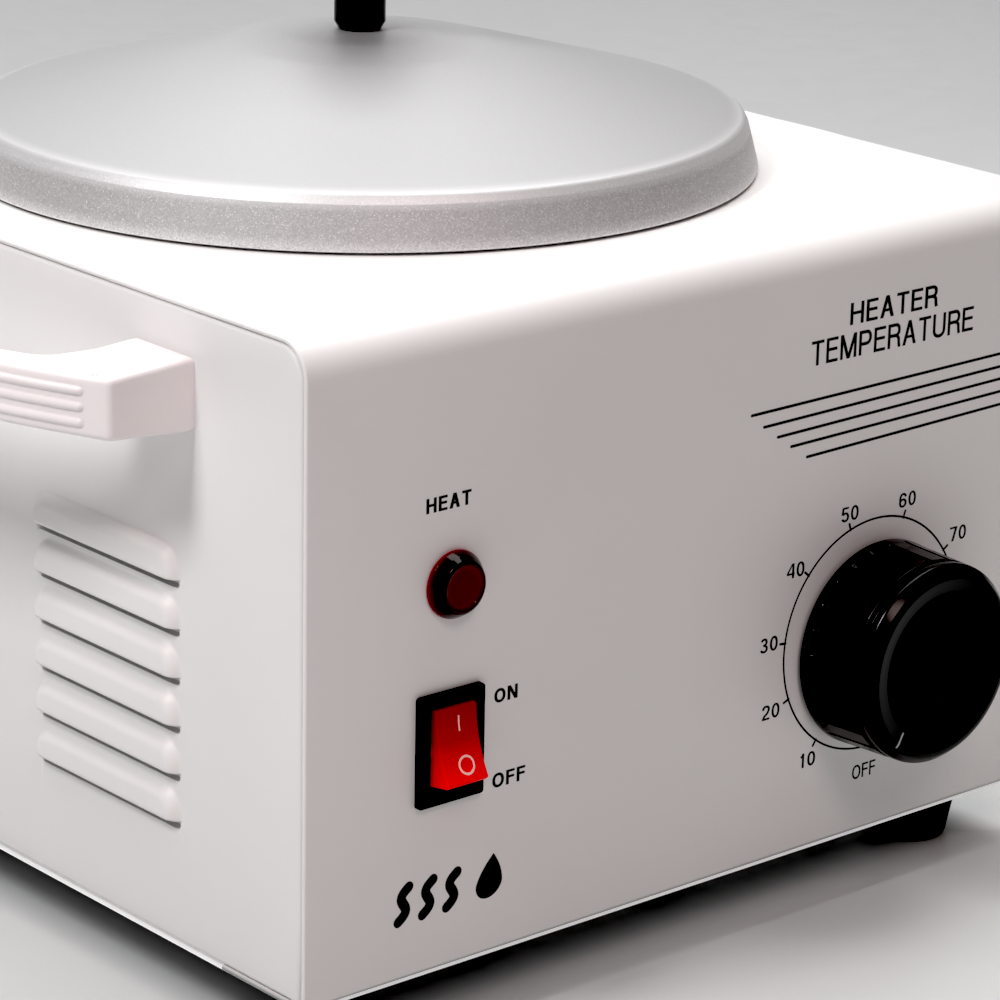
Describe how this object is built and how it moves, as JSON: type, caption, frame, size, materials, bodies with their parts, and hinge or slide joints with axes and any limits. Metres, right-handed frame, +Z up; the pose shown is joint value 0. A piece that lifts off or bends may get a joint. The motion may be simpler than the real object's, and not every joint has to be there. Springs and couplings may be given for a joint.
{
  "type": "wax warmer pot",
  "caption": "Countertop wax heater: a white enamelled steel box around a heated aluminium well, with a lift-off conical lid, control dial, rocker switch and side handles.",
  "frame": {"origin": "on the table, under the middle of the housing, in line with the well's axis", "axes": "+Z up, +X to the right seen from the front, -Y out of the front panel with the dial and switch"},
  "size_m": [0.2574, 0.246, 0.1931],
  "materials": {
    "white_enamel": "smooth white powder coat, satin gloss",
    "zinc_steel": "bright zinc plate",
    "foot_rubber": "moulded black rubber",
    "white_plastic": "white moulded plastic, soft gloss",
    "well_aluminium": "spun, satin anodised",
    "fibre_gasket": "pressed fibre sheet",
    "mica_heater": "steel jacketed mica band",
    "glass_fibre": "woven glass cloth",
    "lid_silver": "fine metallic silver, satin",
    "black_phenolic": "black phenolic, polished",
    "thermostat_case": "moulded dark case",
    "dial_black": "black moulded plastic, polished cap",
    "switch_black": "black nylon",
    "rocker_red": "translucent red polycarbonate",
    "tinned_brass": "tinned brass",
    "lens_red": "dark red translucent plastic",
    "barrel_plastic": "natural nylon",
    "clear_glass": "clear glass",
    "copper_tube": "drawn copper",
    "fuse_ceramic": "glazed ceramic",
    "block_plastic": "natural nylon",
    "wire_brown": "PVC sleeve",
    "wire_blue": "PVC sleeve",
    "wire_green": "PVC sleeve",
    "cord_black": "black flexible PVC"
  },
  "bodies": {
    "housing": {"housing_wrap": "white_enamel", "side_panel_left": "white_enamel", "side_panel_right": "white_enamel", "base_plate": "white_enamel", "base_screws": "zinc_steel", "rubber_feet": "foot_rubber", "foot_screws": "zinc_steel", "handle_left": "white_plastic", "handle_right": "white_plastic", "handle_bolts": "zinc_steel", "heating_well": "well_aluminium", "well_gasket": "fibre_gasket", "heater_band": "mica_heater", "heater_clamp": "zinc_steel", "clamp_bolt": "zinc_steel", "insulation_blanket": "glass_fibre", "well_spacer": "zinc_steel", "well_bolt": "zinc_steel", "thermostat_body": "thermostat_case", "thermostat_screws": "zinc_steel", "switch_housing": "switch_black", "switch_terminals": "tinned_brass", "indicator_lens": "lens_red", "indicator_barrel": "barrel_plastic", "indicator_retainer": "zinc_steel", "neon_bulb": "clear_glass", "sensor_bulb": "copper_tube", "sensor_clip": "zinc_steel", "thermal_fuse": "fuse_ceramic", "fuse_clip": "zinc_steel", "terminal_block": "block_plastic", "live_wires": "wire_brown", "neutral_wires": "wire_blue", "earth_wire": "wire_green", "earth_screw": "zinc_steel", "earth_tag": "tinned_brass", "strain_relief": "cord_black", "power_cord": "cord_black", "mains_plug": "cord_black", "plug_blades": "tinned_brass"},
    "lid": {"lid": "lid_silver", "lid_knob": "black_phenolic", "lid_knob_screw": "zinc_steel", "lid_knob_washer": "zinc_steel"},
    "dial": {"dial_knob": "dial_black", "thermostat_spindle": "zinc_steel"},
    "rocker": {"switch_rocker": "rocker_red"}
  },
  "joints": [
    {"name": "lid_lift", "type": "slide", "parent": "housing", "child": "lid", "axis": [0, 0, 1], "range_m": [0, 0.12]},
    {"name": "dial_turn", "type": "hinge", "parent": "housing", "child": "dial", "pos_m": [0.0452, -0.104, 0.0527], "axis": [0, 1, 0], "range_deg": [-40, 260]},
    {"name": "rocker_tilt", "type": "hinge", "parent": "housing", "child": "rocker", "pos_m": [-0.0619, -0.104, 0.0562], "axis": [1, 0, 0], "range_deg": [0, 32]}
  ]
}
